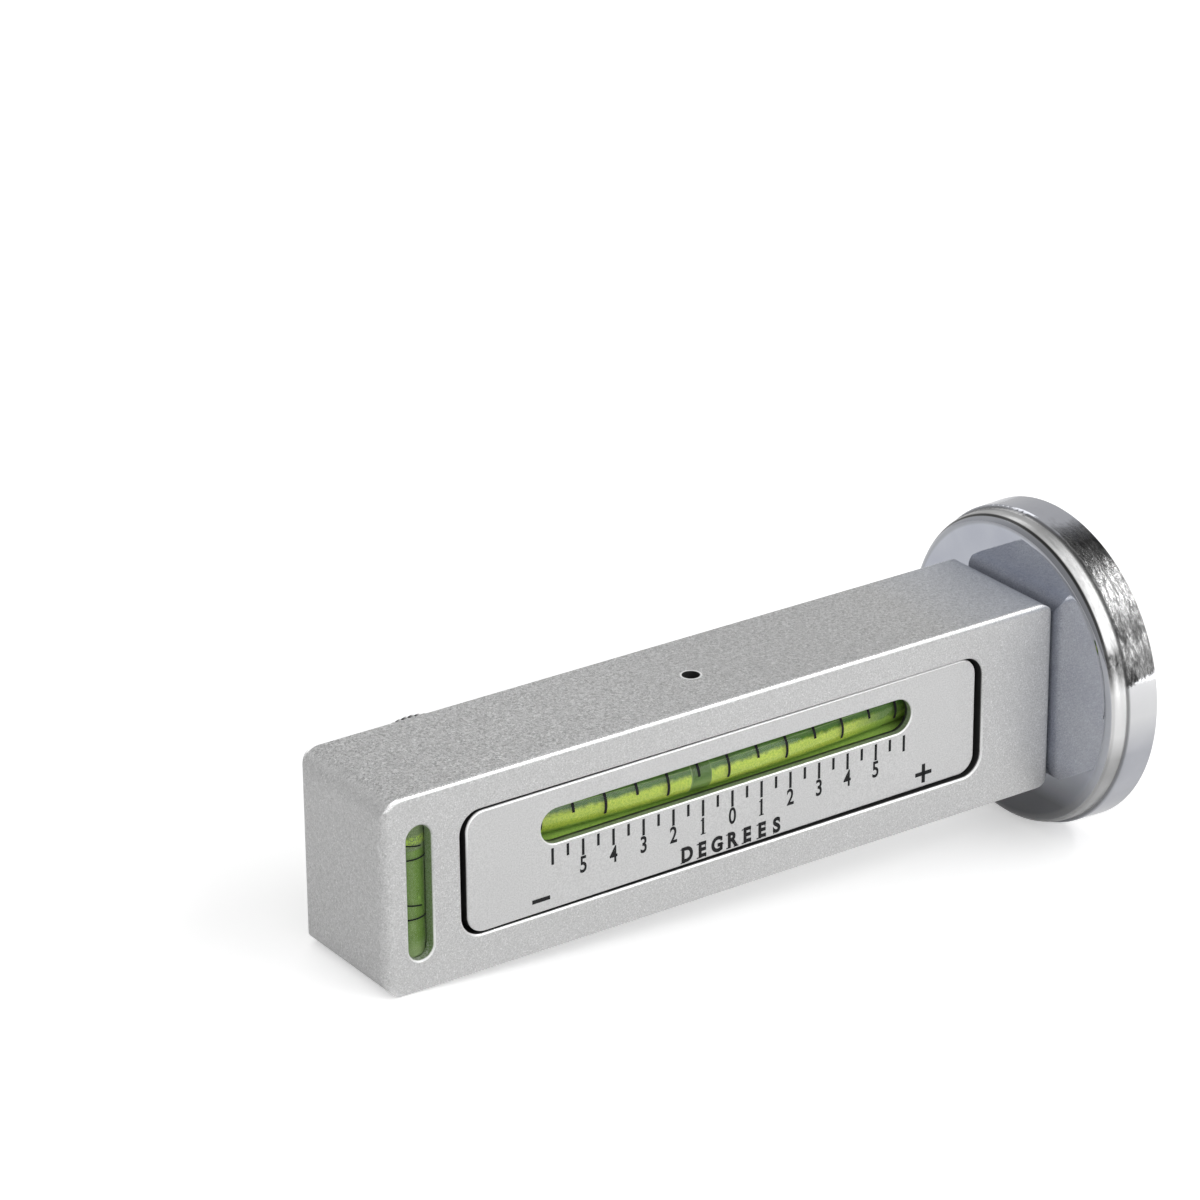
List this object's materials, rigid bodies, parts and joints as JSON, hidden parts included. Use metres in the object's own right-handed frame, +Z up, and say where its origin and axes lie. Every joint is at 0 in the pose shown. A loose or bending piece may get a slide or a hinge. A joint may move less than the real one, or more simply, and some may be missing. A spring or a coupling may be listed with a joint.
{
  "type": "camber caster gauge",
  "caption": "Magnetic wheel alignment gauge: square metal bar on a round pot magnet, with curved camber and caster vials on a tilting rocker, cross level vials and a knurled adjuster.",
  "frame": {"origin": "centre of the magnet's contact face, on the bar's axis", "axes": "+X out of the magnet's contact face, the bar running along -X; -Y out of the camber scale, +Y out of the caster scale; +Z up when the scales read upright"},
  "size_m": [0.1494, 0.059, 0.059],
  "materials": {
    "body_metal": "bead blasted and clear anodised",
    "plate_metal": "fine bead blast, dark printed scale",
    "knob_metal": "fluted rim, satin anodised",
    "nickel": "bright nickel plate on steel",
    "ferrite": "dark sintered ferrite",
    "resin": "cast black resin",
    "steel": "ground steel",
    "brass": "turned brass",
    "pad": "hard plastic",
    "vial": "clear acrylic with printed rings",
    "fluid": "yellow-green spirit",
    "bubble": "air bubble, clear",
    "plugs": "moulded plugs",
    "covers": "pressed-in grey discs"
  },
  "bodies": {
    "bar": {"body": "body_metal", "pivot_pin": "steel", "screw_bush": "brass", "return_spring": "steel", "camber_level_tube": "vial", "camber_level_fluid": "fluid", "caster_level_tube": "vial", "caster_level_fluid": "fluid", "level_vial_plugs": "plugs", "level_bore_covers": "covers", "magnet_cup": "nickel", "magnet_ring": "ferrite", "magnet_pole": "nickel", "magnet_resin": "resin", "magnet_stud": "steel"},
    "rocker": {"rocker_block": "body_metal", "camber_scale_plate": "plate_metal", "camber_vial_tube": "vial", "camber_vial_fluid": "fluid", "camber_vial_plugs": "plugs", "caster_scale_plate": "plate_metal", "caster_vial_tube": "vial", "caster_vial_fluid": "fluid", "caster_vial_plugs": "plugs"},
    "pad": {"thrust_pad": "pad"},
    "knob_and_screw": {"knob": "knob_metal", "adjusting_screw": "steel"},
    "camber_air": {"camber_bubble": "bubble"},
    "caster_air": {"caster_bubble": "bubble"},
    "camber_level_air": {"camber_level_bubble": "bubble"},
    "caster_level_air": {"caster_level_bubble": "bubble"}
  },
  "joints": [
    {"name": "screw_advance", "type": "slide", "parent": "bar", "child": "pad", "axis": [0, -1, 0], "range_m": [-0.00106, 0.00035]},
    {"name": "knob_turn", "type": "hinge", "parent": "pad", "child": "knob_and_screw", "pos_m": [-0.1213, 0.0138, 0], "axis": [0, -1, 0], "range_deg": [-477.5, 158]},
    {"name": "rocker_tilt", "type": "hinge", "parent": "bar", "child": "rocker", "pos_m": [-0.08, -0.0009, 0], "axis": [0, 0, 1], "range_deg": [-1.51, 0.51], "deforming": ["return_spring"]},
    {"name": "camber_bubble_run", "type": "hinge", "parent": "rocker", "child": "camber_air", "pos_m": [-0.08301, 0.34401, 0.00445], "axis": [0, 0, 1], "range_deg": [-5.36, 7.08], "stiffness_Nm_per_rad": 0.0005},
    {"name": "caster_bubble_run", "type": "hinge", "parent": "rocker", "child": "caster_air", "pos_m": [-0.06913, -0.21556, 0.00445], "axis": [0, 0, 1], "range_deg": [-7.24, 7.24], "stiffness_Nm_per_rad": 0.0005},
    {"name": "camber_level_run", "type": "slide", "parent": "bar", "child": "camber_level_air", "axis": [0, 0, 1], "range_m": [-0.0188, 0], "stiffness_N_per_m": 0.05, "springref_m": 0.06},
    {"name": "caster_level_run", "type": "slide", "parent": "bar", "child": "caster_level_air", "axis": [0, 0, 1], "range_m": [-0.0188, 0], "stiffness_N_per_m": 0.05, "springref_m": 0.06}
  ],
  "couplings": [
    {"joint": "knob_turn", "follows": "screw_advance", "rad_per_m": 7854},
    {"joint": "rocker_tilt", "follows": "screw_advance", "rad_per_m": 24.204}
  ]
}
